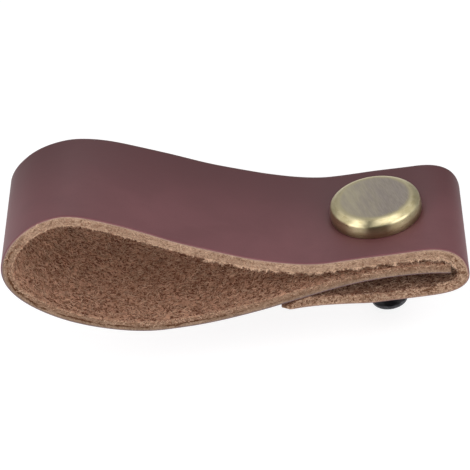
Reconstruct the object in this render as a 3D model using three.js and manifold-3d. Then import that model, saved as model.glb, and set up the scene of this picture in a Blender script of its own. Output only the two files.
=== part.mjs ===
// A cabinet pull made from one folded leather strap, clamped by a flat metal cap and a machine screw.
// Millimetres. The origin is on the screw axis, at the face of the drawer front that the pull is fixed to.
// +Z points out of the drawer front, the grip loop reaches along -X, and the strap's width runs along Y.

import * as THREE from "three";
import { mergeVertices } from "three/addons/utils/BufferGeometryUtils.js";
import Module from "manifold-3d";

const wasm = await Module();
wasm.setup();

// Leather strap: overall sizes
const strapWidth = 42;
const leatherThickness = 3;
const loopReach = 101.3; // screw axis to the outer end of the grip loop
const loopHeight = 41.1; // drawer front to the crest of the loop
const foldReach = 23.2; // screw axis to the outer end of the short fold
const flapReach = 28.4; // screw axis to the tip of the flap under the fold
const tuckReach = 19.2; // screw axis to the strap end that lies inside the fold

// Leather strap: how the three layers lie where the screw goes through them
const lensGap = 4.7; // free height between the flap and the middle layer
const wedgeGap = 1.75; // free height between the middle and the top layer
const flapFlat = 3; // the flap lies flat from the fold to this far past the screw axis
const foldHeight = 6.2; // drawer front to the outermost point of the short fold
const tuckDrop = 1.25; // how far the tucked end hangs below the middle layer
const tuckBend = 2; // screw axis to where it starts to hang
const clampInset = 1; // the layers lie flat to this far inside the cap's rim
const tipLift = 1.25; // drawer front to the underside of the flap's tip
const tipThickness = 1.5; // the flesh side is pared down at the flap's tip
const tipTaper = 7; // length of that paring

// Leather strap: the grip loop
const crestInset = 19; // outer end of the loop back to its crest
const bulgeHeight = 24.8; // drawer front to the loop's outermost point
const restReach = 60.5; // screw axis to the line where the loop touches the drawer front
const waistReach = 30; // screw axis to where the middle layer passes the flap's tip
const waistGap = 0.2; // extra room there, on top of one leather thickness
const waistSlope = 12; // degrees

// Leather strap: finish and fit
const endRounding = 0.8; // how far the two cut ends round out
const endSteps = 6;
const routeStep = 1.8; // length of leather between two facets

// Cap with its threaded post
const capDiameter = 25;
const capHeight = 4.6;
const capBevelWidth = 2.2;
const capBevelHeight = 1.5;
const capEdgeRounding = 0.25;
const postDiameter = 6.5;
const postRecess = 0.5; // the post ends this far above the drawer front
const boreSpare = 1.5; // free depth of the bore past the end of the screw

// Machine screw
const screwDiameter = 4;
const screwLength = 25;
const screwTipChamfer = 0.5;
const panelSpace = 13; // drawer front to the screw head: the board that the pull clamps
const headDiameter = 10.2;
const headHeight = 2.4;
const headRim = 0.6;
const driveSpan = 4.6; // cross recess, tip to tip
const driveSlot = 1;
const driveDepth = 1.6;

// Clearances
const seatClearance = 0.3; // cap above the leather
const holeClearance = 0.4; // post in the holes of the leather
const threadClearance = 0.3; // screw in the bore of the post
const drillOvershoot = 3; // how far the hole's cutter stands out of the leather

const ROUND_FACETS = 96;
const DOME_STEPS = 8;

// Heights of the layers, all measured on the screw axis
const half = leatherThickness / 2;
const flapMiddle = half;
const innerMiddle = leatherThickness + lensGap + half;
const topMiddle = 2 * leatherThickness + lensGap + wedgeGap + half;
const stackTop = topMiddle + half;
const capBase = stackTop + seatClearance;
const capRadius = capDiameter / 2;
const postRadius = postDiameter / 2;
const screwTip = screwLength - panelSpace;

// Stations of the strap's middle line from the tucked end to the flap's tip: the place, the heading of
// the leather there in degrees, and how long it holds that heading before and after the station.
function strapStations() {
  const waistMiddle = leatherThickness + half + waistGap;
  return [
    { x: tuckReach - endRounding, z: innerMiddle - tuckDrop, heading: 169, before: 0, after: 6.4 },
    { x: tuckBend, z: innerMiddle, heading: 180, before: 4.6, after: 9.7 },
    { x: -waistReach, z: waistMiddle, heading: 180 + waistSlope, before: 4.7, after: 15.4 },
    { x: -restReach, z: half, heading: 180, before: 8, after: 13.5 },
    { x: half - loopReach, z: bulgeHeight, heading: 90, before: 13.1, after: 6.9 },
    { x: crestInset - loopReach, z: loopHeight - half, heading: 0, before: 8.6, after: 12 },
    { x: -capRadius, z: topMiddle, heading: 0, before: 26.9, after: 8 },
    { x: capRadius - clampInset, z: topMiddle, heading: 0, before: 8, after: 4.6 },
    { x: foldReach - half, z: foldHeight, heading: -90, before: 6.6, after: 4.6 },
    { x: capRadius - clampInset, z: flapMiddle, heading: 180, before: 3.4, after: 4.7 },
    { x: -flapFlat, z: flapMiddle, heading: 180, before: 4.7, after: 4 },
    { x: endRounding - flapReach, z: tipLift + half, heading: 182, before: 17, after: 0 },
  ];
}

function strapRoute() {
  const stations = strapStations();
  const route = new THREE.CurvePath();
  for (let i = 1; i < stations.length; i += 1) {
    const from = stations[i - 1];
    const to = stations[i];
    const leave = THREE.MathUtils.degToRad(from.heading);
    const arrive = THREE.MathUtils.degToRad(to.heading);
    route.add(new THREE.CubicBezierCurve(
      new THREE.Vector2(from.x, from.z),
      new THREE.Vector2(from.x + from.after * Math.cos(leave), from.z + from.after * Math.sin(leave)),
      new THREE.Vector2(to.x - to.before * Math.cos(arrive), to.z - to.before * Math.sin(arrive)),
      new THREE.Vector2(to.x, to.z),
    ));
  }
  return route;
}

// Points on the middle line with the unit vector towards the grain side and the length of leather left.
function strapSamples() {
  const route = strapRoute();
  const length = route.getLength();
  const samples = [];
  let passed = 0;
  route.curves.forEach((curve, index) => {
    const steps = Math.ceil(curve.getLength() / routeStep);
    for (let i = index === 0 ? 0 : 1; i <= steps; i += 1) {
      const point = curve.getPointAt(i / steps);
      const tangent = curve.getTangentAt(i / steps);
      const grain = new THREE.Vector2(-tangent.y, tangent.x);
      samples.push({ point, tangent, grain, left: length - passed - (curve.getLength() * i) / steps });
    }
    passed += curve.getLength();
  });
  return samples;
}

function fleshOffset(left) {
  const pared = Math.max(0, 1 - left / tipTaper);
  return half - (leatherThickness - tipThickness) * pared;
}

// A rounded end between the two sides of the leather, bulging along the heading.
function roundedEnd(first, last, heading) {
  const middle = first.clone().add(last).multiplyScalar(0.5);
  const reach = first.clone().sub(middle);
  const points = [];
  for (let i = 1; i < endSteps; i += 1) {
    const angle = (Math.PI * i) / endSteps;
    const out = heading.clone().multiplyScalar(endRounding * Math.sin(angle));
    points.push(middle.clone().addScaledVector(reach, Math.cos(angle)).add(out));
  }
  return points;
}

function strapOutline() {
  const samples = strapSamples();
  const grainSide = samples.map((s) => s.point.clone().addScaledVector(s.grain, half));
  const fleshSide = samples.map((s) => s.point.clone().addScaledVector(s.grain, -fleshOffset(s.left)));
  const start = samples[0].tangent.clone().negate();
  const end = samples[samples.length - 1].tangent;
  const tip = roundedEnd(grainSide[grainSide.length - 1], fleshSide[fleshSide.length - 1], end);
  fleshSide.reverse();
  const tuck = roundedEnd(fleshSide[fleshSide.length - 1], grainSide[0], start);
  return [...grainSide, ...tip, ...fleshSide, ...tuck];
}

// A closed three.js geometry as a solid that can be cut.
function solidFrom(geometry) {
  const plain = geometry.clone();
  plain.deleteAttribute("normal");
  plain.deleteAttribute("uv");
  const merged = mergeVertices(plain, 1e-4);
  const index = merged.index.array;
  const triangles = [];
  for (let i = 0; i < index.length; i += 3) {
    const [a, b, c] = index.slice(i, i + 3);
    if (a !== b && b !== c && c !== a) triangles.push(a, b, c);
  }
  const mesh = new wasm.Mesh({
    numProp: 3,
    vertProperties: new Float32Array(merged.attributes.position.array),
    triVerts: new Uint32Array(triangles),
  });
  mesh.merge();
  return new wasm.Manifold(mesh);
}

function geometryFrom(solid) {
  const mesh = solid.getMesh();
  const geometry = new THREE.BufferGeometry();
  geometry.setAttribute("position", new THREE.BufferAttribute(mesh.vertProperties, 3));
  geometry.setIndex(new THREE.BufferAttribute(mesh.triVerts, 1));
  geometry.computeVertexNormals();
  return geometry;
}

// A body of revolution about Z from [radius, height] pairs.
function turned(profile) {
  const points = profile.map(([radius, height]) => new THREE.Vector2(radius, height));
  return new THREE.LatheGeometry(points, ROUND_FACETS).rotateX(Math.PI / 2);
}

function strapGeometry() {
  const shape = new THREE.Shape(strapOutline());
  const strip = new THREE.ExtrudeGeometry(shape, { depth: strapWidth, bevelEnabled: false });
  strip.rotateX(Math.PI / 2);
  strip.translate(0, strapWidth / 2, 0);
  const holeRadius = postRadius + holeClearance;
  const hole = turned([
    [0, -drillOvershoot],
    [holeRadius, -drillOvershoot],
    [holeRadius, stackTop + drillOvershoot],
    [0, stackTop + drillOvershoot],
  ]);
  return geometryFrom(solidFrom(strip).subtract(solidFrom(hole)));
}

function capGeometry() {
  const top = capBase + capHeight;
  const boreRadius = screwDiameter / 2 + threadClearance;
  const boreTop = screwTip + boreSpare;
  const profile = [
    [0, boreTop],
    [boreRadius, boreTop],
    [boreRadius, postRecess],
    [postRadius, postRecess],
    [postRadius, capBase],
    [capRadius - capEdgeRounding, capBase],
    [capRadius, capBase + capEdgeRounding],
    [capRadius, top - capBevelHeight - capEdgeRounding],
    [capRadius - capEdgeRounding, top - capBevelHeight + capEdgeRounding],
    [capRadius - capBevelWidth, top],
    [0, top],
  ];
  return geometryFrom(solidFrom(turned(profile)));
}

// The cross that a screwdriver turns, cut up into the head from below.
function driveRecess(bottom) {
  const reach = driveSpan / 2;
  const side = driveSlot / 2;
  const cross = new THREE.Shape();
  cross.moveTo(reach, side);
  for (let quarter = 0; quarter < 4; quarter += 1) {
    const turn = (x, y) => new THREE.Vector2(x, y).rotateAround(new THREE.Vector2(), (quarter * Math.PI) / 2);
    for (const corner of [turn(side, side), turn(side, reach), turn(-side, reach)]) {
      cross.lineTo(corner.x, corner.y);
    }
  }
  const geometry = new THREE.ExtrudeGeometry(cross, { depth: driveDepth + headHeight, bevelEnabled: false });
  geometry.translate(0, 0, bottom - headHeight);
  return solidFrom(geometry);
}

function screwGeometry() {
  const bearing = -panelSpace;
  const bottom = bearing - headHeight;
  const headRadius = headDiameter / 2;
  const shankRadius = screwDiameter / 2;
  const domeHeight = headHeight - headRim;
  const profile = [];
  for (let i = 0; i <= DOME_STEPS; i += 1) {
    const angle = (Math.PI * i) / (2 * DOME_STEPS);
    profile.push([headRadius * Math.sin(angle), bottom + domeHeight * (1 - Math.cos(angle))]);
  }
  profile[0][0] = 0;
  profile.push(
    [headRadius, bearing],
    [shankRadius, bearing],
    [shankRadius, screwTip - screwTipChamfer],
    [shankRadius - screwTipChamfer, screwTip],
    [0, screwTip],
  );
  return geometryFrom(solidFrom(turned(profile)).subtract(driveRecess(bottom)));
}

const burgundyLeather = new THREE.MeshStandardMaterial({ color: 0x6c4d50, roughness: 0.55, metalness: 0 });
const antiqueBrass = new THREE.MeshStandardMaterial({ color: 0xa39a74, roughness: 0.35, metalness: 1 });
const blackSteel = new THREE.MeshStandardMaterial({ color: 0x1c1d20, roughness: 0.4, metalness: 0.8 });

function named(name, geometry, material) {
  const mesh = new THREE.Mesh(geometry, material);
  mesh.name = name;
  return mesh;
}

const cabinetPull = new THREE.Group();
cabinetPull.add(
  named("leather_strap", strapGeometry(), burgundyLeather),
  named("brass_cap", capGeometry(), antiqueBrass),
  named("fixing_screw", screwGeometry(), blackSteel),
);

export default cabinetPull;
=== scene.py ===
"""The looks of a folded leather cabinet pull: burgundy strap, brushed brass cap and black machine screw."""

import math

import bmesh
import bpy
import numpy as np
from mathutils import Matrix, Vector, geometry, kdtree


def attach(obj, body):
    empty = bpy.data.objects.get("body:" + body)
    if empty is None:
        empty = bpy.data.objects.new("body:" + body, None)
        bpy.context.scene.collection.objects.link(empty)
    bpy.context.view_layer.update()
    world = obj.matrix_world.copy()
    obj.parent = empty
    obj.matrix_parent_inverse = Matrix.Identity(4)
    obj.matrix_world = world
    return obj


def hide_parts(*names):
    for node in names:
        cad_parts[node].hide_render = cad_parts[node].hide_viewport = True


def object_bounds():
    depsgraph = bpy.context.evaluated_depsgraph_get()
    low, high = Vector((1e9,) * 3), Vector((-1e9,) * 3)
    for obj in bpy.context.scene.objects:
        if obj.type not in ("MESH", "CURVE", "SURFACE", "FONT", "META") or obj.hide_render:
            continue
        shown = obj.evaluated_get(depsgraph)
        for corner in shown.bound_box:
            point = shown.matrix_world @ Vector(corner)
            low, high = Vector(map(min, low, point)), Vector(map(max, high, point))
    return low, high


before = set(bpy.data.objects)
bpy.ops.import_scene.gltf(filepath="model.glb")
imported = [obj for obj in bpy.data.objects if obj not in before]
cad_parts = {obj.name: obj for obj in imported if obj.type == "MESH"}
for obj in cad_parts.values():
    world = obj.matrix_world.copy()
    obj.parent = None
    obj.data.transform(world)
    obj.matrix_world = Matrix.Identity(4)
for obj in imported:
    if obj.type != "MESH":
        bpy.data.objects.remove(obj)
cad_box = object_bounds()

MM = 0.001
WELD = 0.001 * MM
CLEAN = 5 * WELD

# Strap, in millimetres
STRAP_WIDTH = 42.0
LEATHER = 3.0
LOOP_REACH = 101.3
LOOP_HEIGHT = 41.1
FOLD_REACH = 23.2
FLAP_REACH = 28.4
TUCK_REACH = 19.2
END_ROUNDING = 0.8

# How the three layers lie where the screw goes through them
LENS_GAP = 4.7
WEDGE_GAP = 1.75
CLAMP_INSET = 1.0
FOLD_HEIGHT = 6.2
FLAP_FLAT = 3.0
TUCK_DROP = 1.25
TUCK_BEND = 2.0
TUCKED_LENGTH = 50.0
HALF = LEATHER / 2
INNER_MIDDLE = LEATHER + LENS_GAP + HALF
TOP_MIDDLE = 2 * LEATHER + LENS_GAP + WEDGE_GAP + HALF
STACK_TOP = TOP_MIDDLE + HALF

# The grip loop
CREST_INSET = 19.0
BULGE_HEIGHT = 24.8
REST_REACH = 60.5
WAIST_REACH = 30.0
WAIST_GAP = 0.2
WAIST_SLOPE = 12.0

# The flap's tip, pared thinner and lifted
TIP_HEIGHT = 1.28
TIP_THICKNESS = 1.5
TIP_TAPER = 7.0
TIP_LIFT = 1.4
TIP_CUT = 2.2

# Slack of the loop: how much higher its back edge lies than its front edge, where along X, and its spread
CREST_SAG = (-2.2, -84.0, 14.0)
DIP_LIFT = (1.0, -32.0, 25.0)
DIP_END = (-29.0, -8.0)
INSIDE_RISE = (0.9, -82.0, 16.0)
SLACK_FADE_OVER = 12.0
SLACK_FADE_INSIDE = 18.0

# The hide's corners, its skin, how rough it is, and how finely it is divided
GRAIN_CORNER = 0.45
FLESH_CORNER = 0.3
GRAIN_LAYER = 0.35
NAP_ROUGHNESS = 0.09
CUT_ROUGHNESS = 0.07
CUT_WANDER = 0.1
STEP_ALONG = 0.5
STEPS_ACROSS = 40
STEPS_DEEP = 9

# Machine screw, in millimetres
SHANK_RADIUS = 2.0
SCREW_LENGTH = 25.0
PANEL_SPACE = 13.0
HEAD_RADIUS = 5.1
HEAD_HEIGHT = 2.4
HEAD_RIM = 0.6
HEAD_CHAMFER = 0.1
TIP_CHAMFER_WIDTH = 0.4
TIP_CHAMFER_LENGTH = 0.5
THREAD_PITCH = 0.7
THREAD_DEPTH = 0.38
THREAD_FOOT = 0.45 * THREAD_PITCH
THREAD_CREST = 0.07 * THREAD_PITCH
THREAD_SINK = 0.05
THREAD_START = 1.2
THREAD_RUNOUT = 2.0
RECESS_REACH = 2.6
RECESS_SLOT = 0.6
RECESS_OVERSHOOT = 1.0
RECESS_STAGES = ((1.6, 0.8), (1.0, 0.58))

# Cap with its threaded post, in millimetres
CAP_RADIUS = 12.5
CAP_TOP = 20.3
CAP_FLARE = 0.15
CAP_FLARE_HEIGHT = 1.1
CAP_SHOULDER_INSET = 0.2
CAP_BEVEL_WIDTH = 2.0
CAP_BEVEL_HEIGHT = 1.2
CAP_PRESS = 0.35
CAP_CLEARANCE = 0.05
CAP_BASE = STACK_TOP - CAP_PRESS + CAP_CLEARANCE
DENT_INSIDE = 0.4
DENT_OUTSIDE = 1.4
POST_RADIUS = 3.25
POST_RECESS = 0.5
BORE_CLEARANCE = 0.3
BORE_SPARE = 1.5
BORE_RADIUS = SHANK_RADIUS + BORE_CLEARANCE
BORE_TOP = SCREW_LENGTH - PANEL_SPACE + BORE_SPARE
HOLE_CLEARANCE = 0.4
HOLE_RADIUS = POST_RADIUS + HOLE_CLEARANCE
PUNCH_BOTTOM = -5.0
PUNCH_TOP = 25.0

# Facets round the turned pieces
CAP_FACETS = 192
SCREW_FACETS = 96
HOLE_FACETS = 64
DOME_STEPS = 16
THREAD_STEPS = 28

# Loose fibres, and where the curls hang, from one place along X to another
NAP_FIBRES = 12500
FACE_FIBRES = 3600
FRINGE_FIBRES = 3200
TOP_CLUMPS = 64
FOLD_CLUMPS = 16
CLUMP_FIBRES = 13
CLUMP_SPREAD = 0.4
TOP_CURLS = (-45.0, 19.0)
FOLD_CURLS = (14.0, FOLD_REACH)

# Camera of the photograph: level, square to the strap's edge, with a long lens
PHOTO_TILT = math.radians(9.0)
PHOTO_ELEVATION = math.radians(34.1)
PHOTO_DISTANCE = 774.1
PHOTO_CENTRE = Vector((-41.1, 0.0, 7.65))
PHOTO_LENS = 215.4

# Softboxes, in metres: name, place, size, brightness
LAMPS = [
    ("left softbox", (-0.45, -0.26, 0.28), (0.40, 0.62), 1.9),
    ("right softbox", (0.39, -0.27, 0.28), (0.40, 0.62), 2.0),
    ("front fill", (-0.04, -0.50, 0.10), (0.6, 0.2), 3.8),
    ("back fill", (0.05, 0.50, 0.10), (0.7, 0.2), 3.0),
]
LAMP_AIM = Vector((-0.03, 0, 0.015))

# Light of the white room, apart from what it gives to reflections
ROOM_GLOW = 0.32

# Soft patches of the room in reflections: direction, cosines of outer and inner edge, how much darker
STUDIO_PATCHES = [
    ((-0.35, -0.62, 0.70), 0.972, 0.995, 0.8),
    ((-0.32, -0.42, 0.85), 0.972, 0.995, 0.8),
    ((-0.26, -0.16, 0.95), 0.972, 0.995, 0.8),
    ((-0.21, 0.12, 0.97), 0.972, 0.995, 0.8),
    ((-0.45, -0.11, 0.886), 0.965, 0.992, -2.2),
    ((0.28, -0.09, 0.956), 0.93, 0.98, -1.5),
    ((-0.80, -0.50, 0.33), 0.90, 0.98, -1.7),
    ((0.80, -0.50, 0.33), 0.88, 0.97, -1.8),
    ((0.6, 0.78, 0.15), 0.80, 0.95, 0.65),
    ((-0.6, 0.78, 0.15), 0.80, 0.95, 0.55),
]

# Floor: its matt colour in bounced light, to the camera and in reflections
FLOOR_MATT = 0.8
FLOOR_MATT_SHOWN = 0.3
FLOOR_MATT_MIRRORED = 0.03

# Floor: its own light to the camera, and its shares of that in reflections and in bounced light
FLOOR_GLOW = 0.82
FLOOR_MIRRORED = 1.15
FLOOR_BOUNCE = 0.22


def linear(red, green, blue):
    """A colour given as 0 to 255 sRGB, in linear light."""
    def channel(value):
        value /= 255
        return value / 12.92 if value <= 0.04045 else ((value + 0.055) / 1.055) ** 2.4
    return (channel(red), channel(green), channel(blue), 1.0)


class Field:
    """A node's output that can be used like a number in plain arithmetic."""

    def __init__(self, nodes, socket):
        self.nodes = nodes
        self.socket = socket

    def math(self, operation, *others):
        return self.nodes.node("ShaderNodeMath", (self, *others), operation=operation)

    def __add__(self, other):
        return self.math("ADD", other)

    def __sub__(self, other):
        return self.math("SUBTRACT", other)

    def __mul__(self, other):
        return self.math("MULTIPLY", other)

    def __truediv__(self, other):
        return self.math("DIVIDE", other)

    __radd__ = __add__
    __rmul__ = __mul__

    def __rsub__(self, other):
        return self.math("MULTIPLY_ADD", -1.0, other)

    def between(self, low, high):
        """0 below low, 1 above high, and smooth between them."""
        ends = (self, low, high, 0.0, 1.0)
        return self.nodes.node("ShaderNodeMapRange", ends, interpolation_type="SMOOTHSTEP")

    def at_least(self, other):
        return self.math("MAXIMUM", other)


class Nodes:
    """A node tree, with one method that adds any kind of node to it."""

    def __init__(self, tree):
        self.tree = tree

    def node(self, kind, inputs=(), output=0, **settings):
        made = self.tree.nodes.new(kind)
        for key, value in settings.items():
            setattr(made, key, value)
        pairs = inputs.items() if isinstance(inputs, dict) else enumerate(inputs)
        for key, value in pairs:
            if isinstance(value, Field):
                self.tree.links.new(value.socket, made.inputs[key])
            else:
                made.inputs[key].default_value = value
        return Field(self, made.outputs[output])

    def coordinates(self, kind):
        return self.node("ShaderNodeTexCoord", output=kind)

    def along_axis(self, vector, axis):
        return self.node("ShaderNodeSeparateXYZ", (vector,), output=axis)

    def is_ray(self, kind):
        return self.node("ShaderNodeLightPath", output=f"Is {kind} Ray")

    def feed(self, field, node, name):
        self.tree.links.new(field.socket, self.tree.nodes[node].inputs[name])


class Shader(Nodes):
    """A material with one Principled BSDF, whose constants are set on its own sockets."""

    def __init__(self, name, **constants):
        self.material = bpy.data.materials.new(name)
        self.material.use_nodes = True
        super().__init__(self.material.node_tree)
        surface = self.tree.nodes["Principled BSDF"]
        for key, value in constants.items():
            socket = key.replace("_", " ").title().replace("Ior", "IOR")
            surface.inputs[socket].default_value = value

    def attribute(self, name, output="Vector"):
        return self.node("ShaderNodeAttribute", attribute_name=name, output=output)

    def mapped(self, coordinates, scale):
        return self.node("ShaderNodeMapping", {"Vector": coordinates, "Scale": scale})

    def turned(self, coordinates, degrees):
        inputs = {"Vector": coordinates, "Rotation": (0.0, 0.0, math.radians(degrees))}
        return self.node("ShaderNodeMapping", inputs)

    def from_axis(self, place):
        """The distance of a place from the Z axis."""
        flat = self.mapped(place, (1.0, 1.0, 0.0))
        return self.node("ShaderNodeVectorMath", (flat,), output="Value", operation="LENGTH")

    def noise(self, coordinates, scale, detail=3.0, distortion=0.0, roughness=0.55):
        inputs = {
            "Vector": coordinates,
            "Scale": scale,
            "Detail": detail,
            "Roughness": roughness,
            "Distortion": distortion,
        }
        return self.node("ShaderNodeTexNoise", inputs)

    def mixed(self, factor, first, second):
        return self.node("ShaderNodeMix", {0: factor, 6: first, 7: second}, output=2, data_type="RGBA")

    def set_surface(self, field, name):
        self.feed(field, "Principled BSDF", name)

    def bump(self, height, strength, distance):
        inputs = {"Strength": strength, "Distance": distance, "Height": height}
        self.set_surface(self.node("ShaderNodeBump", inputs), "Normal")


def grain_leather():
    """Smooth burgundy hide with faint clouds, fine pores, a soft sheen and painted shade towards its back
    edge.
    """
    shader = Shader("burgundy grain leather", specular_ior_level=0.4)
    hide = shader.attribute("hide")
    clouds = shader.noise(hide, 60.0, 3.0, 0.6)
    pores = shader.noise(shader.mapped(hide, (1.0, 1.3, 1.0)), 2300.0, 2.0)
    streaks = shader.noise(shader.mapped(hide, (0.3, 1.0, 1.0)), 380.0, 4.0)
    across = shader.along_axis(hide, "Y")
    base = shader.mixed(clouds.between(0.35, 0.68), linear(102, 60, 64), linear(110, 67, 71))
    base = shader.mixed(streaks.between(0.45, 0.75) * 0.25, base, linear(112, 70, 72))
    # Painted shade: the grain darker towards the back edge of the strap.
    base = shader.mixed(across.between(-0.016, 0.024) * 0.9, base, linear(74, 37, 40))
    base = shader.mixed(pores.between(0.55, 0.72) * 0.25, base, linear(66, 36, 38))
    shader.set_surface(base, "Base Color")
    shader.set_surface(0.46 + 0.12 * clouds, "Roughness")
    shader.bump(pores * 0.6 + streaks * 0.4, 0.4, 0.00006)
    return shader.material


def raw_leather(strap):
    """Cut edges and flesh side: tan fibres, darker pits and a suede nap, with painted light on the top run
    and painted shade in the fold and on the lower run's edge.
    """
    shader = Shader("raw tan leather", roughness=0.93, specular_ior_level=0.15)
    hide = shader.attribute("hide")
    depth = shader.attribute("depth", "Fac")
    nap = shader.noise(hide, 560.0, 4.0, 2.4, 0.6)
    curls = shader.noise(hide, 900.0, 3.0, 3.0, 0.6)
    patches = shader.noise(hide, 150.0, 3.0, 0.8)
    flesh = shader.mixed(nap.between(0.4, 0.58), linear(88, 47, 32), linear(196, 152, 126))
    flesh = shader.mixed(curls.between(0.5, 0.68) * 0.55, flesh, linear(220, 182, 156))
    flesh = shader.mixed(patches.between(0.4, 0.7) * 0.25, flesh, linear(146, 102, 80))
    passed = shader.along_axis(hide, "X")
    on_top = passed.between(strap.bulge * MM, strap.bulge * MM + 0.02)
    in_fold = passed.between(strap.fold * MM - 0.011, strap.fold * MM - 0.005)
    in_shade = on_top * (1.0 - in_fold)
    # Painted light: the flesh under the top run, which lies in shade, is made lighter.
    painted_light_below_top = in_shade * (0.3 + 0.65 * nap.between(0.42, 0.56))
    flesh = shader.mixed(painted_light_below_top, flesh, linear(250, 214, 190))
    # Painted shade: the flesh darker inside the fold.
    flesh = shader.mixed(in_fold * 0.4, flesh, linear(66, 46, 36))
    strata = shader.noise(shader.mapped(hide, (0.12, 1.0, 1.0)), 1100.0, 3.0, 0.4)
    edge = shader.mixed(nap.between(0.34, 0.6), linear(106, 78, 60), linear(158, 130, 108))
    edge = shader.mixed(curls.between(0.5, 0.62) * 0.6, edge, linear(188, 158, 134))
    edge = shader.mixed(strata.between(0.52, 0.66) * 0.5, edge, linear(104, 74, 55))
    edge = shader.mixed((1.0 - strata.between(0.34, 0.46)) * 0.4, edge, linear(172, 144, 122))
    fine_pits = (1.0 - curls.between(0.38, 0.46)) * 0.45
    deep_pits = (1.0 - nap.between(0.42, 0.5)) * in_fold * depth.between(0.9, 1.5)
    edge = shader.mixed(fine_pits + deep_pits * 0.6, edge, linear(84, 50, 32))
    # Painted light: lighter streaks on the top run's edge only.
    edge = shader.mixed(in_shade * 0.3 * strata.between(0.4, 0.55), edge, linear(186, 156, 134))
    # The lower run's edge darker: partly its own banding, grey-brown by the grain and dark brown deeper in,
    # and partly painted shade.
    lower_run = shader.mixed(depth.between(1.0, 1.6), linear(112, 94, 80), linear(96, 68, 52))
    edge = shader.mixed((1.0 - on_top) * 0.45, edge, lower_run)
    inside = depth.between(LEATHER - 0.15, LEATHER - 0.02)
    colour = shader.mixed(inside, edge, flesh)
    wander = depth + (nap - 0.5) * 1.6 + (patches - 0.5) * 2.2
    band = wander.between(1.15, 1.35) - wander.between(1.65, 2.0)
    # A dark line along the cut edge, a little in from the grain, strongest on the lower run outside the
    # tucked end.
    dark_line = band * (0.15 + 0.85 * strata.between(0.42, 0.52))
    outside = passed.between(TUCKED_LENGTH * MM, (TUCKED_LENGTH + 20) * MM) * (1.0 - on_top)
    colour = shader.mixed(dark_line * (0.2 + 0.75 * outside), colour, linear(74, 44, 26))
    skin = 1.0 - (depth + (nap - 0.5) * 0.3).between(GRAIN_LAYER + 0.1, GRAIN_LAYER + 0.3)
    skin_colour = shader.mixed(on_top, linear(112, 98, 96), linear(150, 124, 114))
    colour = shader.mixed(skin * (0.9 - 0.25 * on_top), colour, skin_colour)
    shader.set_surface(colour, "Base Color")
    shader.bump(nap * 0.6 + curls * 0.4, 1.0, 0.0006)
    return shader.material


def leather_fibre():
    """Loose fibres of the flesh side, each with its own tone."""
    shader = Shader("tan leather fibre", roughness=0.85, specular_ior_level=0.2)
    tone = shader.attribute("tone", "Fac")
    place = shader.coordinates("Object")
    fleck = shader.noise(place, 900.0, 2.0)
    colour = shader.mixed(tone, linear(118, 71, 50), linear(226, 192, 164))
    colour = shader.mixed(fleck.between(0.5, 0.7) * 0.3, colour, linear(142, 100, 78))
    shader.set_surface(colour, "Base Color")
    return shader.material


def brushed_brass():
    """Aged brass with straight brush lines over the whole top face."""
    shader = Shader("brushed antique brass", metallic=1.0)
    place = shader.coordinates("Object")
    brushed = shader.turned(place, -17.0)
    lines = shader.noise(shader.mapped(brushed, (1.0, 0.09, 1.0)), 4200.0, 4.0, 0.2)
    broad = shader.noise(shader.mapped(brushed, (1.0, 0.15, 1.0)), 700.0, 3.0)
    worn = (shader.along_axis(place, "X") + (broad - 0.5) * 0.01).between(-0.012, 0.004)
    flat_radius = CAP_RADIUS - CAP_BEVEL_WIDTH
    wandering = shader.from_axis(place) + (broad - 0.5) * 0.002
    rim = wandering.between((flat_radius - 1.7) * MM, (flat_radius - 0.1) * MM)
    colour = shader.mixed(lines.between(0.36, 0.64), linear(134, 125, 115), linear(149, 140, 130))
    colour = shader.mixed(worn, shader.mixed(0.6, colour, linear(176, 168, 138)), colour)
    colour = shader.mixed(broad.between(0.42, 0.66) * 0.35, colour, linear(134, 124, 121))
    colour = shader.mixed(rim * 0.7, colour, linear(170, 160, 120))
    shader.set_surface(colour, "Base Color")
    shader.set_surface(0.3 + 0.14 * lines, "Roughness")
    shader.bump(lines * 0.7 + broad * 0.3, 0.2, 0.00006)
    return shader.material


def turned_brass():
    """The cap's bevel and wall, brushed round the axis and rubbed brighter than the top, with painted shade
    at the wall's foot.
    """
    shader = Shader("turned antique brass", metallic=1.0, anisotropic=0.85, anisotropic_rotation=0.25)
    place = shader.coordinates("Object")
    stain = shader.noise(shader.mapped(place, (1.0, 1.0, 2.0)), 420.0, 4.0, 0.5)
    fine = shader.noise(shader.mapped(place, (0.25, 0.25, 5.0)), 1400.0, 3.0)
    colour = shader.mixed(stain.between(0.4, 0.7), linear(206, 194, 156), linear(194, 181, 140))
    colour = shader.mixed(fine.between(0.55, 0.75) * 0.35, colour, linear(116, 98, 66))
    flat_radius = CAP_RADIUS - CAP_BEVEL_WIDTH
    near_top = 1.0 - shader.from_axis(place).between((flat_radius - 0.6) * MM, (flat_radius + 0.4) * MM)
    colour = shader.mixed(near_top * 0.8, colour, linear(156, 147, 122))
    height = shader.along_axis(place, "Z")
    # Painted shade: the wall darker near its foot, where it meets the leather.
    near_leather = 1.0 - height.between((STACK_TOP + 0.35) * MM, (STACK_TOP + 2.35) * MM)
    colour = shader.mixed(near_leather * 0.3, colour, linear(104, 82, 54))
    shader.set_surface(colour, "Base Color")
    shader.set_surface(0.24 + 0.1 * fine, "Roughness")
    shader.bump(fine, 0.06, 0.00004)
    return shader.material


def black_screw():
    """Black oxide on steel, a little lighter where it has rubbed."""
    shader = Shader("black oxide steel", metallic=0.6)
    place = shader.coordinates("Object")
    wear = shader.noise(place, 700.0, 4.0)
    colour = shader.mixed(wear.between(0.45, 0.8), linear(50, 50, 54), linear(92, 92, 96))
    shader.set_surface(colour, "Base Color")
    shader.set_surface(0.3 + 0.2 * wear, "Roughness")
    shader.bump(wear, 0.2, 0.00005)
    return shader.material


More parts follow.
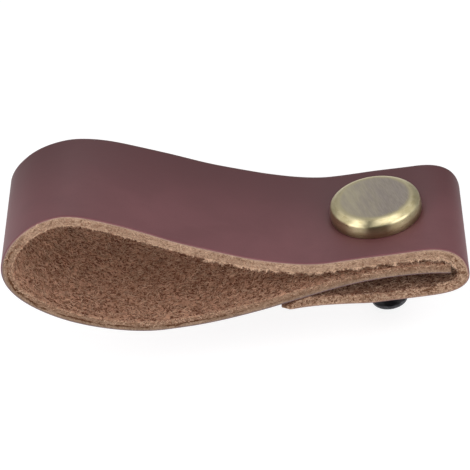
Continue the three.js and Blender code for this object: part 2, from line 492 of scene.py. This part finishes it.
def smooth(low, high, value):
    """0 below low, 1 above high, and smooth between them."""
    share = np.clip((value - low) / (high - low), 0.0, 1.0)
    return share * share * (3 - 2 * share)


def hump(height, centre, spread, x):
    """A bell curve of the given height."""
    return height * np.exp(-(((x - centre) / spread) ** 2))


def strap_stations():
    """Places (x, z) on the strap's middle line, the heading there, and how long it holds on both sides."""
    return [
        (TUCK_REACH - END_ROUNDING, INNER_MIDDLE - TUCK_DROP, 169, 0, 6.4),
        (TUCK_BEND, INNER_MIDDLE, 180, 4.6, 9.7),
        (-WAIST_REACH, LEATHER + HALF + WAIST_GAP, 180 + WAIST_SLOPE, 4.7, 15.4),
        (-REST_REACH, HALF, 180, 8, 13.5),
        (HALF - LOOP_REACH, BULGE_HEIGHT, 90, 13.1, 6.9),
        (CREST_INSET - LOOP_REACH, LOOP_HEIGHT - HALF, 0, 8.6, 12),
        (-CAP_RADIUS, TOP_MIDDLE, 0, 26.9, 8),
        (CAP_RADIUS - CLAMP_INSET, TOP_MIDDLE, 0, 8, 4.6),
        (FOLD_REACH - HALF, FOLD_HEIGHT, -90, 6.6, 4.6),
        (CAP_RADIUS - CLAMP_INSET, HALF, 180, 3.4, 4.7),
        (-FLAP_FLAT, HALF, 180, 4.7, 4),
        (-FLAP_REACH, TIP_HEIGHT + HALF, 182, 17.8, 0),
    ]


class Strap:
    """The folded strap: its points go by length along the leather, place across it and depth below grain."""

    STEPS_PER_STRETCH = 160

    def __init__(self):
        line = []
        stations = strap_stations()
        for start, end in zip(stations, stations[1:]):
            a, b = Vector(start[:2]), Vector(end[:2])
            leave, arrive = math.radians(start[2]), math.radians(end[2])
            from_a = a + Vector((math.cos(leave), math.sin(leave))) * start[4]
            to_b = b - Vector((math.cos(arrive), math.sin(arrive))) * end[3]
            line.extend(geometry.interpolate_bezier(a, from_a, to_b, b, self.STEPS_PER_STRETCH)[:-1])
        line = np.array([*line, b])
        steps = np.hypot(*np.diff(line, axis=0).T)
        self.passed = np.concatenate(([0.0], np.cumsum(steps)))
        self.length = self.passed[-1]
        self.line = line
        self.heading = np.unwrap(np.arctan2(*np.gradient(line, self.passed, axis=0).T[::-1]))
        self.bulge = self.passed[np.argmin(line[:, 0])]
        self.fold = self.passed[np.argmax(line[:, 0])]

    def middle(self, passed):
        """Places (x, z) on the middle line, and the direction out of the grain side there."""
        x = np.interp(passed, self.passed, self.line[:, 0])
        z = np.interp(passed, self.passed, self.line[:, 1])
        heading = np.interp(passed, self.passed, self.heading)
        return x, z, -np.sin(heading), np.cos(heading)

    def place(self, passed, across, depth):
        """Points in millimetres, on the twisted strap."""
        x, z, grain_x, grain_z = self.middle(passed)
        left = self.length - passed
        pared = 1 - (1 - TIP_THICKNESS / LEATHER) * (1 - smooth(0.0, TIP_TAPER, left))
        lifted = TIP_LIFT * np.clip(1 - left / TIP_CUT, 0, 1) * (1 - depth / LEATHER)
        from_cap = np.hypot(x, across)
        pressed = CAP_PRESS * (1 - smooth(CAP_RADIUS - DENT_INSIDE, CAP_RADIUS + DENT_OUTSIDE, from_cap))
        on_top = (passed > self.bulge) & (passed < self.fold)
        out = HALF - depth * pared - lifted - pressed * on_top * (1 - depth / LEATHER)
        x = x + grain_x * out
        z = z + grain_z * out
        return np.stack([x, across, z + self.twist(passed, x) * (across / STRAP_WIDTH + 0.5)], axis=-1)

    def twist(self, passed, x):
        """How much higher the back edge lies than the front edge, because the loop is slack at the back."""
        over = hump(*CREST_SAG, x) + hump(*DIP_LIFT, x) * (1 - smooth(*DIP_END, x))
        on_top = smooth(self.bulge, self.bulge + SLACK_FADE_OVER, passed) * (passed < self.fold)
        inside = 1 - smooth(self.bulge - SLACK_FADE_INSIDE, self.bulge, passed)
        return over * on_top + hump(*INSIDE_RISE, x) * inside

    def run_between(self, start, end, low, high):
        """The lengths of leather between two places on the stretch from start to end, given by their x."""
        x = self.line[:, 0]
        on = (self.passed >= start) & (self.passed <= end) & (x >= low) & (x <= high)
        return self.passed[on].min(), self.passed[on].max()

    def normal(self, passed):
        """The direction out of the grain side."""
        _, _, grain_x, grain_z = self.middle(passed)
        return np.stack([grain_x, np.zeros_like(grain_x), grain_z], axis=-1)

    def along(self, passed):
        """The direction along the leather, from the tucked end to the flap's tip."""
        _, _, grain_x, grain_z = self.middle(passed)
        return np.stack([grain_z, np.zeros_like(grain_x), -grain_x], axis=-1)


def cut_hide(length):
    """The strap as it is cut: flat, X along it, Y across it, grain at Z = 0 and flesh side LEATHER below."""
    mesh = bmesh.new()
    bmesh.ops.create_grid(mesh, x_segments=round(length / STEP_ALONG), y_segments=STEPS_ACROSS, size=0.5)
    bmesh.ops.translate(mesh, verts=mesh.verts, vec=(0.5, 0, 0))
    bmesh.ops.scale(mesh, verts=mesh.verts, vec=(length, STRAP_WIDTH, 1))
    bmesh.ops.solidify(mesh, geom=mesh.faces[:], thickness=LEATHER)
    for level, corner in ((0.0, GRAIN_CORNER), (-LEATHER, FLESH_CORNER)):
        rim = []
        for edge in mesh.edges:
            if all(abs(v.co.z - level) < 0.01 for v in edge.verts) and edge.calc_face_angle() > 1:
                rim.append(edge)
        bmesh.ops.bevel(mesh, geom=rim, offset=corner, segments=4, profile=0.5, affect="EDGES", material=-1)
    tall = [edge for edge in mesh.edges if abs(edge.verts[0].co.z - edge.verts[1].co.z) > HALF]
    bmesh.ops.subdivide_edges(mesh, edges=tall, cuts=STEPS_DEEP - 1)
    bmesh.ops.recalc_face_normals(mesh, faces=mesh.faces)
    return mesh


def waves(rng, count, shortest, longest):
    """A smooth random field over the hide: a sum of plane waves, of about unit size."""
    spans = rng.uniform(shortest, longest, count)
    turns = rng.uniform(0, 2 * math.pi, count)
    starts = rng.uniform(0, 2 * math.pi, count)

    def field(u, v):
        total = 0
        for span, turn, start in zip(spans, turns, starts):
            total = total + np.sin((u * math.cos(turn) + v * math.sin(turn)) * 2 * math.pi / span + start)
        return total / math.sqrt(count / 2)

    return field


def fold_hide(strap, rng):
    """The cut hide with its rough flesh side and edges, folded along the strap's line."""
    mesh = cut_hide(strap.length)
    for face in mesh.faces:
        face.smooth = True
        face.material_index = int(face.calc_center_median().z < -GRAIN_LAYER)
    data = bpy.data.meshes.new("strap_finish")
    mesh.to_mesh(data)
    mesh.free()
    flat = np.empty(len(data.vertices) * 3)
    data.vertices.foreach_get("co", flat)
    u, across, depth = (flat.reshape(-1, 3) * (1, 1, -1)).T
    nap = waves(rng, 24, 1.1, 3.0)(u, across) * NAP_ROUGHNESS * smooth(LEATHER - 0.5, LEATHER, depth)
    cut = waves(rng, 24, 0.9, 2.4)(u, depth * 1.5) * CUT_ROUGHNESS
    wander = waves(rng, 8, 12.0, 30.0)(u, across * 0.1) * CUT_WANDER
    at_side = smooth(STRAP_WIDTH / 2 - 1.0, STRAP_WIDTH / 2, np.abs(across))
    wide = across + np.sign(across) * at_side * (cut * smooth(0.3, 0.9, depth) + wander)
    folded = strap.place(u, wide, depth + nap)
    data.vertices.foreach_set("co", (folded * MM).reshape(-1))
    hide = np.stack([u, across, depth], axis=-1) * MM
    data.attributes.new("hide", "FLOAT_VECTOR", "POINT").data.foreach_set("vector", hide.reshape(-1))
    data.attributes.new("depth", "FLOAT", "POINT").data.foreach_set("value", depth)
    return data


def object_of(data, *materials):
    made = bpy.data.objects.new(data.name, data)
    bpy.context.scene.collection.objects.link(made)
    for material in materials:
        data.materials.append(material)
    return made


def object_from(mesh, name, *materials):
    data = bpy.data.meshes.new(name)
    mesh.to_mesh(data)
    mesh.free()
    return object_of(data, *materials)


def make_strap(strap, rng):
    piece = object_of(fold_hide(strap, rng), grain_leather(), raw_leather(strap))
    before = piece.data.copy()
    subtract(piece, object_from(punch_mesh(), "punch"))
    copy_hide(before, piece.data)
    return piece


def punch_mesh():
    """The punch for the post's hole, turned by half a facet to keep its corners off the hide's middle."""
    outline = [(0, PUNCH_BOTTOM), (HOLE_RADIUS, PUNCH_BOTTOM), (HOLE_RADIUS, PUNCH_TOP), (0, PUNCH_TOP)]
    mesh = turned_mesh(outline, HOLE_FACETS)
    half_facet = Matrix.Rotation(math.pi / HOLE_FACETS, 3, "Z")
    bmesh.ops.rotate(mesh, verts=mesh.verts, matrix=half_facet)
    return mesh


def copy_hide(source, target):
    """Gives every vertex the hide coordinates of the nearest vertex before the hole was punched."""
    tree = kdtree.KDTree(len(source.vertices))
    for vertex in source.vertices:
        tree.insert(vertex.co, vertex.index)
    tree.balance()
    nearest = np.array([tree.find(vertex.co)[1] for vertex in target.vertices])
    for name, kind, key, size in (("hide", "FLOAT_VECTOR", "vector", 3), ("depth", "FLOAT", "value", 1)):
        values = np.empty(len(source.vertices) * size)
        source.attributes[name].data.foreach_get(key, values)
        layer = target.attributes.get(name) or target.attributes.new(name, kind, "POINT")
        layer.data.foreach_set(key, values.reshape(-1, size)[nearest].reshape(-1))


class Fibres:
    """Loose leather fibres, collected as arrays and made into one mesh of thin tapered strands."""

    SEGMENTS = 3

    def __init__(self, rng):
        self.rng = rng
        self.parts = []

    def add(self, roots, up, heading, length, radius, lift, curl, tone):
        """Strands from roots along heading that bend sideways by curl and rise along up by lift."""
        rng = self.rng
        side = np.cross(up, heading)
        side /= np.linalg.norm(side, axis=-1, keepdims=True)
        bend = rng.normal(0, curl, (len(roots), 1))
        wave = rng.normal(0, curl * 0.6, (len(roots), 1))
        rings = []
        for k in range(self.SEGMENTS + 1):
            t = k / self.SEGMENTS
            sideways = bend * t * t + wave * math.sin(t * math.pi)
            centre = roots + (heading * t + side * sideways) * length[:, None]
            centre = centre + up * (lift * math.sin(t * 2.2))[:, None]
            if k == self.SEGMENTS:
                rings.append(centre[:, None, :])
                continue
            thick = radius * (1 - 0.45 * t)
            corners = []
            for turn in (0.5, 2.6, 4.7):
                corners.append(centre + (up * math.sin(turn) + side * math.cos(turn)) * thick[:, None])
            rings.append(np.stack(corners, axis=1))
        self.parts.append((np.concatenate(rings, axis=1), tone))

    def piece(self, name, material):
        points = np.concatenate([part for part, _ in self.parts])
        tones = np.concatenate([tone for _, tone in self.parts])
        strands, per, _ = points.shape
        faces = []
        for k in range(self.SEGMENTS - 1):
            for i in range(3):
                j = (i + 1) % 3
                faces.append((3 * k + i, 3 * k + j, 3 * k + 3 + j, 3 * k + 3 + i))
        quads = np.array(faces)[None] + np.arange(strands)[:, None, None] * per
        last = 3 * (self.SEGMENTS - 1)
        tips = np.array([(last, last + 1, per - 1), (last + 1, last + 2, per - 1), (last + 2, last, per - 1)])
        tips = tips[None] + np.arange(strands)[:, None, None] * per
        data = bpy.data.meshes.new(name)
        polygons = quads.reshape(-1, 4).tolist() + tips.reshape(-1, 3).tolist()
        data.from_pydata((points.reshape(-1, 3) * MM).tolist(), [], polygons)
        data.attributes.new("tone", "FLOAT", "POINT").data.foreach_set("value", np.repeat(tones, per))
        data.shade_smooth()
        return object_of(data, material)


def nap_fibres(strap, rng):
    """The suede nap of the flesh side: short fibres that lie in all directions."""
    fibres = Fibres(rng)
    count = NAP_FIBRES
    passed = rng.uniform(1.0, strap.length - 4.0, count)
    length = rng.uniform(0.9, 2.1, count)
    turn = rng.uniform(0, 2 * math.pi, (count, 1))
    heading = strap.along(passed) * np.cos(turn) + np.array([0.0, 1.0, 0.0]) * np.sin(turn)
    room = STRAP_WIDTH / 2 + 0.1 - length * np.abs(heading[:, 1])
    across = rng.uniform(-1.0, 1.0, count) * room
    roots = strap.place(passed, across, np.full(count, LEATHER - 0.03))
    radius = rng.uniform(0.05, 0.11, count)
    tone = rng.beta(0.8, 0.9, count)
    # Painted light: the fibres under the top run, which lies in shade, are made lighter, except near the
    # fold.
    tone += (1 - tone) * 0.6 * smooth(strap.bulge, strap.bulge + 20, passed) * (passed < strap.fold - 12)
    lift = rng.uniform(0.05, 0.4, count)
    fibres.add(roots, -strap.normal(passed), heading, length, radius, lift, 0.4, tone)
    return fibres


def edge_fibres(strap, rng):
    """Fibres of the cut edges, and the ragged fringe along the flesh side's corners."""
    fibres = Fibres(rng)
    add_face_fibres(fibres, strap)
    add_short_fringe(fibres, strap)
    add_curls(fibres, strap)
    return fibres


def add_face_fibres(fibres, strap):
    """Fibres that lie on the faces of the cut edges, nearer the flesh side on the lower run."""
    rng = fibres.rng
    count = FACE_FIBRES
    passed = rng.uniform(1.0, strap.length - 3.0, count)
    side = rng.choice([-1.0, 1.0], count)
    depth = rng.uniform(0.8, LEATHER - 0.1, count)
    depth = np.where(passed < strap.bulge, LEATHER - (LEATHER - depth) * 0.45, depth)
    roots = strap.place(passed, side * (STRAP_WIDTH / 2 + 0.02), depth)
    out = np.stack([np.zeros(count), side, np.zeros(count)], axis=-1)
    turn = rng.uniform(-0.35, 0.9, (count, 1)) * math.pi / 2
    way = rng.choice([-1.0, 1.0], (count, 1))
    heading = strap.along(passed) * np.cos(turn) * way - strap.normal(passed) * np.sin(turn)
    length = rng.uniform(0.6, 1.3, count)
    radius = rng.uniform(0.05, 0.09, count)
    lift = rng.uniform(0.0, 0.12, count)
    fibres.add(roots, out, heading, length, radius, lift, 0.4, rng.beta(1.3, 2.0, count))


def add_short_fringe(fibres, strap):
    """A short fringe along the edges, with the share of the tucked end and the flap spread over the rest."""
    rng = fibres.rng
    count = FRINGE_FIBRES
    flap = strap.fold + 6
    passed = rng.uniform(0.5, strap.length - 4.0, count)
    tucked = (passed < TUCKED_LENGTH) | (passed > flap)
    passed = np.where(tucked, rng.uniform(TUCKED_LENGTH, flap, count), passed)
    side = rng.choice([-1.0, 1.0], count)
    add_fringe(fibres, strap, passed, side, 0.5, 0.1, (0.3, 0.7))


def add_curls(fibres, strap):
    """Clumps of longer light curls under the top run and inside the fold."""
    rng = fibres.rng
    top_run = strap.run_between(strap.bulge, strap.fold, *TOP_CURLS)
    fold_run = strap.run_between(strap.fold - 8, strap.length, *FOLD_CURLS)
    clumps = np.concatenate([rng.uniform(*top_run, TOP_CLUMPS), rng.uniform(*fold_run, FOLD_CLUMPS)])
    count = len(clumps) * CLUMP_FIBRES
    passed = np.repeat(clumps, CLUMP_FIBRES) + rng.normal(0, CLUMP_SPREAD, count)
    side = np.repeat(rng.choice([-1.0, 1.0], len(clumps)), CLUMP_FIBRES)
    add_fringe(fibres, strap, passed, side, 0.35, 0.12, (0.6, 1.5))


def add_fringe(fibres, strap, passed, side, inset, sink, lengths):
    """Light fibres at the corner of a cut edge, rooted up to inset from the edge and sink under the flesh."""
    rng = fibres.rng
    count = len(passed)
    across = side * (STRAP_WIDTH / 2 - rng.uniform(0.0, inset, count))
    roots = strap.place(passed, across, np.full(count, LEATHER - sink))
    out = np.stack([np.zeros(count), side, np.zeros(count)], axis=-1)
    lean = rng.normal(0, 0.9, (count, 1))
    spread = rng.uniform(-0.2, 0.7, (count, 1))
    heading = out * spread - strap.normal(passed) + strap.along(passed) * lean
    heading /= np.linalg.norm(heading, axis=-1, keepdims=True)
    up = out - heading * np.sum(out * heading, axis=-1, keepdims=True)
    up /= np.linalg.norm(up, axis=-1, keepdims=True)
    length = rng.uniform(*lengths, count)
    radius = rng.uniform(0.045, 0.085, count)
    lift = rng.uniform(-0.1, 0.2, count)
    tone = rng.beta(4.5, 1.0, count) * (0.85 + 0.2 * lengths[1])
    fibres.add(roots, up, heading, length, radius, lift, 0.6, tone)


def turned_mesh(profile, facets):
    """A body of revolution about Z from (radius, height) pairs in millimetres."""
    mesh = bmesh.new()
    line = [mesh.verts.new((radius * MM, 0, height * MM)) for radius, height in profile]
    edges = [mesh.edges.new(pair) for pair in zip(line, line[1:])]
    bmesh.ops.spin(
        mesh,
        geom=line + edges,
        cent=(0, 0, 0),
        axis=(0, 0, 1),
        angle=2 * math.pi,
        steps=facets,
        use_merge=True,
    )
    bmesh.ops.remove_doubles(mesh, verts=mesh.verts, dist=WELD)
    bmesh.ops.recalc_face_normals(mesh, faces=mesh.faces)
    for face in mesh.faces:
        face.smooth = True
    return mesh


def rounded(profile, radii, steps=7):
    """The profile with each corner that has a radius replaced by a smooth curve."""
    out = [profile[0]]
    for before, corner, after, radius in zip(profile, profile[1:], profile[2:], radii):
        corner = Vector(corner)
        if not radius:
            out.append(tuple(corner))
            continue
        start = corner + (Vector(before) - corner).normalized() * radius
        end = corner + (Vector(after) - corner).normalized() * radius
        for i in range(steps + 1):
            t = i / steps
            out.append(tuple(start * (1 - t) ** 2 + corner * 2 * t * (1 - t) + end * t * t))
    out.append(profile[-1])
    return out


def make_cap():
    """The flat cap, with a bevelled rim over a slightly flared wall, and its threaded post's plain bore."""
    profile = rounded(
        [
            (0, BORE_TOP),
            (BORE_RADIUS, BORE_TOP),
            (BORE_RADIUS, POST_RECESS),
            (POST_RADIUS, POST_RECESS),
            (POST_RADIUS, CAP_BASE),
            (CAP_RADIUS, CAP_BASE),
            (CAP_RADIUS + CAP_FLARE, STACK_TOP + CAP_FLARE_HEIGHT),
            (CAP_RADIUS - CAP_SHOULDER_INSET, CAP_TOP - CAP_BEVEL_HEIGHT),
            (CAP_RADIUS - CAP_BEVEL_WIDTH, CAP_TOP),
            (0, CAP_TOP),
        ],
        [0, 0.15, 0.15, 0.1, 0.25, 0.8, 0.65, 0.8],
    )
    mesh = turned_mesh(profile, CAP_FACETS)
    for face in mesh.faces:
        flat = all(v.co.z > (CAP_TOP - 0.02) * MM for v in face.verts)
        face.material_index = 0 if flat else 1
    return object_from(mesh, "cap_finish", brushed_brass(), turned_brass())


def make_screw():
    """The machine screw: a low domed head with a cross recess, and a shank with a real thread."""
    bearing = -PANEL_SPACE
    bottom = bearing - HEAD_HEIGHT
    top = bearing + SCREW_LENGTH
    dome = HEAD_HEIGHT - HEAD_RIM
    core = SHANK_RADIUS - THREAD_DEPTH
    profile = [(0, bottom)]
    for i in range(1, DOME_STEPS + 1):
        angle = math.pi / 2 * i / DOME_STEPS
        profile.append((HEAD_RADIUS * math.sin(angle), bottom + dome * (1 - math.cos(angle))))
    profile += [
        (HEAD_RADIUS, bearing - HEAD_CHAMFER),
        (HEAD_RADIUS - HEAD_CHAMFER, bearing),
        (core, bearing),
        (core, top - TIP_CHAMFER_LENGTH),
        (core - TIP_CHAMFER_WIDTH, top),
        (0, top),
    ]
    screw = object_from(turned_mesh(profile, SCREW_FACETS), "screw_finish", black_screw())
    subtract(screw, object_from(cross_mesh(bottom), "cross_cutter"))
    add_mesh(screw, thread_mesh(core))
    screw.data.set_sharp_from_angle(angle=math.radians(35))
    return screw


def cross_mesh(bottom):
    """A cross that narrows in two stages from below the head's face inwards."""
    mesh = bmesh.new()
    outline = []
    for quarter in range(4):
        turn = Matrix.Rotation(quarter * math.pi / 2, 3, "Z")
        for x, y in ((RECESS_REACH, -RECESS_SLOT), (RECESS_REACH, RECESS_SLOT), (RECESS_SLOT, RECESS_SLOT)):
            outline.append(mesh.verts.new(turn @ Vector((x, y, 0))))
    mouth = mesh.faces.new(outline)
    floor = mouth
    for rise, share in RECESS_STAGES:
        made = bmesh.ops.extrude_face_region(mesh, geom=[floor])["geom"]
        if floor is not mouth:
            bmesh.ops.delete(mesh, geom=[floor], context="FACES_ONLY")
        raised = [part for part in made if isinstance(part, bmesh.types.BMVert)]
        floor = next(part for part in made if isinstance(part, bmesh.types.BMFace))
        bmesh.ops.scale(mesh, verts=raised, vec=(share, share, 1))
        bmesh.ops.translate(mesh, verts=raised, vec=(0, 0, rise))
    bmesh.ops.translate(mesh, verts=mesh.verts, vec=(0, 0, bottom - RECESS_OVERSHOOT))
    bmesh.ops.scale(mesh, verts=mesh.verts, vec=(MM, MM, MM))
    bmesh.ops.recalc_face_normals(mesh, faces=mesh.faces)
    return mesh


def thread_mesh(core):
    """The screw's thread: a ridge with a small flat crest, wound up the shank's core."""
    mesh = bmesh.new()
    inner = core - THREAD_SINK
    start = THREAD_START - PANEL_SPACE
    ridge = (
        (inner, -THREAD_FOOT),
        (SHANK_RADIUS, -THREAD_CREST),
        (SHANK_RADIUS, THREAD_CREST),
        (inner, THREAD_FOOT),
    )
    section = [mesh.verts.new((radius * MM, 0, (start + height) * MM)) for radius, height in ridge]
    edges = [mesh.edges.new((one, two)) for one, two in zip(section, section[1:] + section[:1])]
    turns = int((SCREW_LENGTH - THREAD_RUNOUT) / THREAD_PITCH)
    bmesh.ops.spin(
        mesh,
        geom=section + edges,
        cent=(0, 0, 0),
        axis=(0, 0, 1),
        dvec=(0, 0, THREAD_PITCH * MM / THREAD_STEPS),
        angle=2 * math.pi * turns,
        steps=THREAD_STEPS * turns,
    )
    bmesh.ops.holes_fill(mesh, edges=mesh.edges, sides=4)
    bmesh.ops.recalc_face_normals(mesh, faces=mesh.faces)
    return mesh


def subtract(piece, cutter):
    """Cuts the cutter out of the piece, deletes it and removes the slivers that the cut leaves."""
    cut = piece.modifiers.new("cut", "BOOLEAN")
    cut.object = cutter
    cut.operation = "DIFFERENCE"
    cut.solver = "EXACT"
    graph = bpy.context.evaluated_depsgraph_get()
    made = bpy.data.meshes.new_from_object(piece.evaluated_get(graph))
    mesh = bmesh.new()
    mesh.from_mesh(made)
    bmesh.ops.remove_doubles(mesh, verts=mesh.verts, dist=CLEAN)
    bmesh.ops.triangulate(mesh, faces=[face for face in mesh.faces if len(face.verts) > 4])
    bmesh.ops.dissolve_degenerate(mesh, edges=mesh.edges, dist=CLEAN)
    mesh.to_mesh(made)
    mesh.free()
    piece.modifiers.clear()
    piece.data = made
    bpy.data.objects.remove(cutter)


def add_mesh(piece, mesh):
    """Adds the mesh to the piece as a shell of its own."""
    extra = bpy.data.meshes.new("extra")
    mesh.to_mesh(extra)
    mesh.clear()
    mesh.from_mesh(piece.data)
    mesh.from_mesh(extra)
    mesh.to_mesh(piece.data)
    mesh.free()
    bpy.data.meshes.remove(extra)


def photo_to_part():
    """Turns the photograph's upright frame into the part's frame."""
    return Matrix.Rotation(PHOTO_TILT, 4, "Y") @ Matrix.Translation(PHOTO_CENTRE * MM)


def make_camera():
    data = bpy.data.cameras.new("photo camera")
    data.lens = PHOTO_LENS
    data.sensor_width = 36
    data.clip_start = 0.01
    camera = bpy.data.objects.new("photo camera", data)
    bpy.context.scene.collection.objects.link(camera)
    away = Vector((0, -math.cos(PHOTO_ELEVATION), math.sin(PHOTO_ELEVATION))) * PHOTO_DISTANCE * MM
    tilt = Matrix.Rotation(math.pi / 2 - PHOTO_ELEVATION, 4, "X")
    camera.matrix_world = photo_to_part() @ Matrix.Translation(away) @ tilt
    bpy.context.scene.camera = camera


def make_lamp(name, place, size, brightness):
    """A rectangular softbox aimed at the pull. Reflections show the room's patches and no lamp."""
    data = bpy.data.lights.new(name, "AREA")
    data.shape = "RECTANGLE"
    data.size, data.size_y = size
    data.energy = brightness * math.pi * size[0] * size[1]
    lamp = bpy.data.objects.new(name, data)
    bpy.context.scene.collection.objects.link(lamp)
    lamp.location = place
    lamp.rotation_euler = (LAMP_AIM - Vector(place)).to_track_quat("-Z", "Y").to_euler()
    lamp.visible_glossy = False


def make_room():
    """A white room. In reflections its low front is dark, and its patches are darker or brighter."""
    world = bpy.data.worlds.new("white studio")
    bpy.context.scene.world = world
    world.use_nodes = True
    room = Nodes(world.node_tree)
    sight = room.coordinates("Generated")
    up = room.along_axis(sight, "Z")
    level = (1.0 - up * up).math("POWER", 0.5)
    forward = room.along_axis(sight, "Y") * -1.0 / level
    dim = forward.between(0.82, 0.95) * (1.0 - up.between(0.25, 0.5))
    for direction, outer, inner, darker in STUDIO_PATCHES:
        near = room.node("ShaderNodeVectorMath", (sight, direction), output="Value", operation="DOT_PRODUCT")
        dim = dim + darker * near.between(outer, inner)
    glossy = room.is_ray("Glossy") * (1.0 - ROOM_GLOW - dim) + ROOM_GLOW
    room.feed(glossy.at_least(room.is_ray("Camera")), "Background", "Strength")
    world.node_tree.nodes["Background"].inputs["Color"].default_value = (1, 1, 1, 1)


def make_floor():
    """White to the camera, with the pull's shadow. In reflections it is dark in front, dim to the right."""
    mesh = bmesh.new()
    bmesh.ops.create_grid(mesh, x_segments=1, y_segments=1, size=4.0)
    bmesh.ops.translate(mesh, verts=mesh.verts, vec=(0, 0, cad_box[0][2]))
    material = bpy.data.materials.new("white floor")
    material.use_nodes = True
    tree = material.node_tree
    tree.nodes.remove(tree.nodes["Principled BSDF"])
    floor = Nodes(tree)
    camera = floor.is_ray("Camera")
    glossy = floor.is_ray("Glossy")
    place = floor.coordinates("Object")
    towards = floor.node("ShaderNodeVectorMath", (place,), operation="NORMALIZE")
    beside = floor.along_axis(towards, "Y").between(-0.95, -0.80)
    leftward = floor.node("ShaderNodeMapRange", (floor.along_axis(place, "X"), 0.0, 0.12, 1.0, 0.45))
    mirrored = glossy * (beside * leftward) * FLOOR_MIRRORED
    bounced = floor.is_ray("Diffuse") * FLOOR_BOUNCE
    shown = mirrored.at_least(bounced).at_least(camera)
    seen = camera * (FLOOR_MATT - FLOOR_MATT_SHOWN) + glossy * (FLOOR_MATT - FLOOR_MATT_MIRRORED)
    matt = floor.node("ShaderNodeBsdfDiffuse", {"Color": FLOOR_MATT - seen})
    glow = floor.node("ShaderNodeEmission", {"Strength": shown * FLOOR_GLOW})
    floor.feed(floor.node("ShaderNodeAddShader", (matt, glow)), "Material Output", "Surface")
    object_from(mesh, "floor", material)


rng = np.random.default_rng(7)
strap = Strap()
make_camera()
bpy.context.scene.view_settings.view_transform = "Standard"
fibre = leather_fibre()
leather = [make_strap(strap, rng)]
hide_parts("leather_strap")
leather.append(edge_fibres(strap, rng).piece("edge_fibres", fibre))
leather.append(nap_fibres(strap, rng).piece("nap_fibres_one", fibre))
leather.append(nap_fibres(strap, rng).piece("nap_fibres_two", fibre))
cap = make_cap()
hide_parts("brass_cap")
screw = make_screw()
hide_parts("fixing_screw")
for pieces, slot in ((leather, "strap_leather"), ([cap], "antique_brass"), ([screw], "black_screw")):
    for piece in pieces:
        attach(piece, "root")
make_floor()
for lamp in LAMPS:
    make_lamp(*lamp)
make_room()
